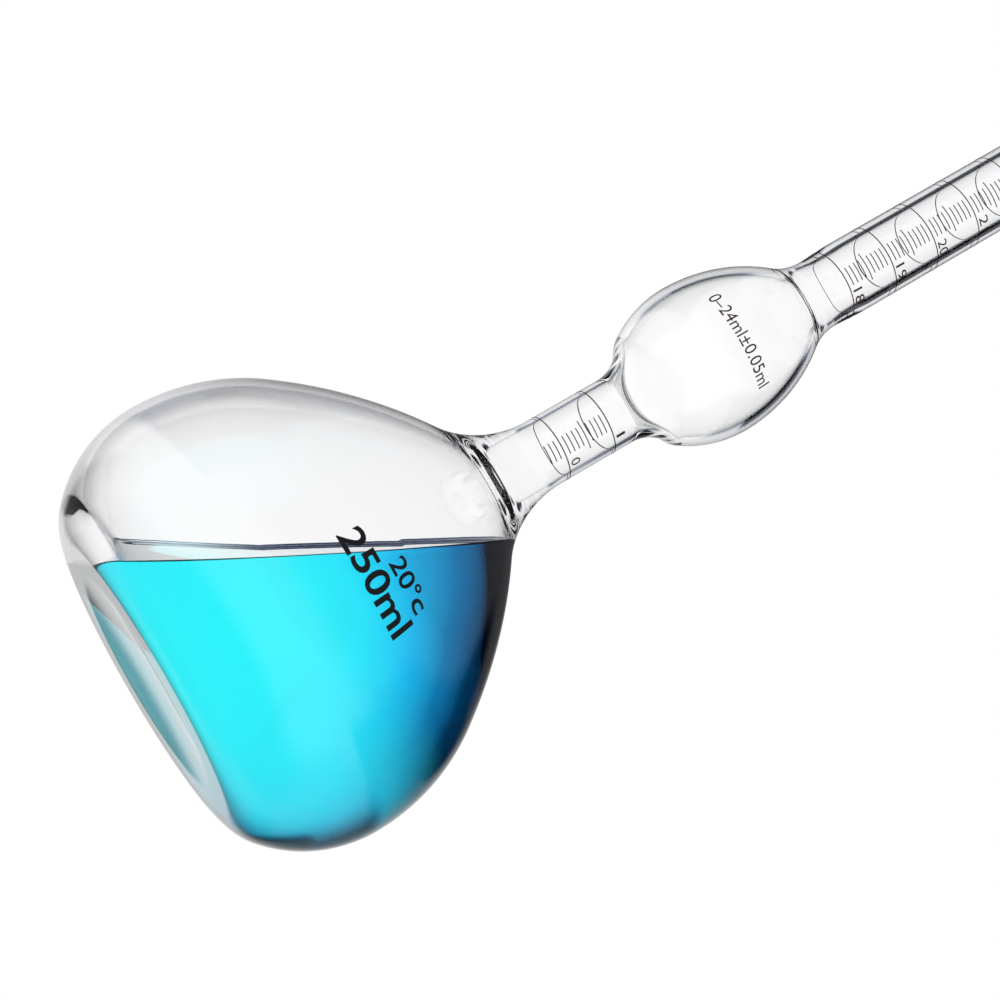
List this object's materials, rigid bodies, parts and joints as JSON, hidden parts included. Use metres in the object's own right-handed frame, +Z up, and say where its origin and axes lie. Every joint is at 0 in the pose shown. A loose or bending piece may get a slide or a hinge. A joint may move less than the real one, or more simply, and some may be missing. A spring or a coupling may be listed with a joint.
{
  "type": "density flask",
  "caption": "Flat-bottomed glass density flask with a graduated neck, a middle bulb, a graduated stem, a ground stopper and blue liquid in the bulb.",
  "frame": {"origin": "middle of the foot, in the plane of the bench that the flask stands on", "axes": "+Z up along the axis of the glass towards the mouth; +X towards the side that the liquid lies on, which is also the side that was lowest in the picture; +Y completes the right-handed frame"},
  "size_m": [0.0864, 0.0864, 0.2645],
  "materials": {
    "borosilicate": "clear, blown and fire polished",
    "stopper_glass": "clear, with a fine ground cone",
    "blue_liquid": "clear dyed liquid",
    "enamel": "fired brown-black print"
  },
  "bodies": {
    "flask": {"flask": "borosilicate", "liquid": "blue_liquid"},
    "stopper": {"stopper": "stopper_glass"}
  },
  "joints": [
    {"name": "stopper_lift", "type": "slide", "parent": "flask", "child": "stopper", "axis": [0, 0, 1], "range_m": [0, 0.045]}
  ]
}
